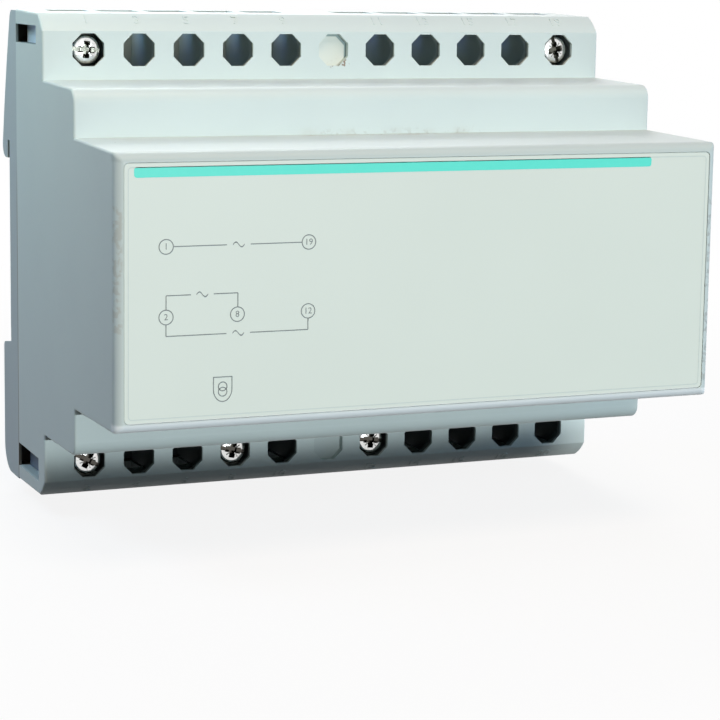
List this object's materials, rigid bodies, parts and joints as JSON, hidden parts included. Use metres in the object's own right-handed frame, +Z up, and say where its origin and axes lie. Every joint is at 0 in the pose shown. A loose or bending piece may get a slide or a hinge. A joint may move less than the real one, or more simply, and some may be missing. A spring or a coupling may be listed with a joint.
{
  "type": "safety transformer",
  "caption": "Light grey stepped modular housing for a mounting rail, with a safety transformer inside, clamp terminals above and below and a sprung rail latch.",
  "frame": {"origin": "middle of the flat face that seats on the mounting rail", "axes": "+Z up, +X to the right seen from the front, the front faces -Y, +Y into the rail"},
  "size_m": [0.105, 0.0723, 0.0868],
  "materials": {
    "housing_grey": "light grey moulded plastic, fine satin texture",
    "base_grey": "grey moulded plastic, fine satin texture, a little darker than the cover",
    "plate_grey": "light grey printed plate, smooth satin",
    "block_grey": "mid grey moulded plastic",
    "latch_plastic": "grey moulded plastic",
    "screw_nickel": "bright nickel-plated steel",
    "cage_zinc": "zinc-plated steel",
    "bar_tinned": "tinned brass",
    "spring_steel": "spring steel wire",
    "lamination_steel": "varnished silicon-steel laminations",
    "bobbin_nylon": "natural nylon",
    "copper_wire": "enamelled copper wire",
    "winding_tape": "yellow polyester tape",
    "cutout_black": "black moulded case",
    "lead_brown": "brown lead insulation",
    "lead_grey": "grey lead insulation"
  },
  "bodies": {
    "housing": {"housing_cover": "housing_grey", "rear_base": "base_grey", "front_plate": "plate_grey", "upper_terminal_block": "block_grey", "lower_terminal_block": "block_grey", "latch_spring": "spring_steel", "core_e_stack": "lamination_steel", "core_i_stack": "lamination_steel", "bobbin": "bobbin_nylon", "primary_winding": "copper_wire", "secondary_winding": "copper_wire", "primary_tape": "winding_tape", "secondary_tape": "winding_tape", "thermal_cutout": "cutout_black", "contact_bar_1": "bar_tinned", "lead_1": "lead_brown", "contact_bar_19": "bar_tinned", "lead_19": "lead_brown", "contact_bar_2": "bar_tinned", "lead_2": "lead_grey", "contact_bar_8": "bar_tinned", "lead_8": "lead_grey", "contact_bar_12": "bar_tinned", "lead_12": "lead_grey"},
    "latch": {"rail_latch": "latch_plastic"},
    "screw_1": {"terminal_screw_1": "screw_nickel"},
    "cage_1": {"terminal_cage_1": "cage_zinc"},
    "screw_19": {"terminal_screw_19": "screw_nickel"},
    "cage_19": {"terminal_cage_19": "cage_zinc"},
    "screw_2": {"terminal_screw_2": "screw_nickel"},
    "cage_2": {"terminal_cage_2": "cage_zinc"},
    "screw_8": {"terminal_screw_8": "screw_nickel"},
    "cage_8": {"terminal_cage_8": "cage_zinc"},
    "screw_12": {"terminal_screw_12": "screw_nickel"},
    "cage_12": {"terminal_cage_12": "cage_zinc"}
  },
  "joints": [
    {"name": "latch_slide", "type": "slide", "parent": "housing", "child": "latch", "axis": [0, 0, -1], "range_m": [0, 0.0045], "stiffness_N_per_m": 400, "springref_m": -0.002, "deforming": ["latch_spring"]},
    {"name": "screw_1_turn", "type": "hinge", "parent": "housing", "child": "screw_1", "pos_m": [-0.0445, -0.0202, 0.0355], "axis": [0, 1, 0], "range_deg": [0, 2100]},
    {"name": "cage_1_rise", "type": "slide", "parent": "housing", "child": "cage_1", "axis": [0, -1, 0], "range_m": [0, 0.0035]},
    {"name": "screw_19_turn", "type": "hinge", "parent": "housing", "child": "screw_19", "pos_m": [0.0445, -0.0202, 0.0355], "axis": [0, 1, 0], "range_deg": [0, 2100]},
    {"name": "cage_19_rise", "type": "slide", "parent": "housing", "child": "cage_19", "axis": [0, -1, 0], "range_m": [0, 0.0035]},
    {"name": "screw_2_turn", "type": "hinge", "parent": "housing", "child": "screw_2", "pos_m": [-0.0445, -0.0202, -0.0355], "axis": [0, 1, 0], "range_deg": [0, 2100]},
    {"name": "cage_2_rise", "type": "slide", "parent": "housing", "child": "cage_2", "axis": [0, -1, 0], "range_m": [0, 0.0035]},
    {"name": "screw_8_turn", "type": "hinge", "parent": "housing", "child": "screw_8", "pos_m": [-0.0178, -0.0202, -0.0355], "axis": [0, 1, 0], "range_deg": [0, 2100]},
    {"name": "cage_8_rise", "type": "slide", "parent": "housing", "child": "cage_8", "axis": [0, -1, 0], "range_m": [0, 0.0035]},
    {"name": "screw_12_turn", "type": "hinge", "parent": "housing", "child": "screw_12", "pos_m": [0.0089, -0.0202, -0.0355], "axis": [0, 1, 0], "range_deg": [0, 2100]},
    {"name": "cage_12_rise", "type": "slide", "parent": "housing", "child": "cage_12", "axis": [0, -1, 0], "range_m": [0, 0.0035]}
  ],
  "couplings": [
    {"joint": "screw_1_turn", "follows": "cage_1_rise", "rad_per_m": 10472},
    {"joint": "screw_19_turn", "follows": "cage_19_rise", "rad_per_m": 10472},
    {"joint": "screw_2_turn", "follows": "cage_2_rise", "rad_per_m": 10472},
    {"joint": "screw_8_turn", "follows": "cage_8_rise", "rad_per_m": 10472},
    {"joint": "screw_12_turn", "follows": "cage_12_rise", "rad_per_m": 10472}
  ]
}
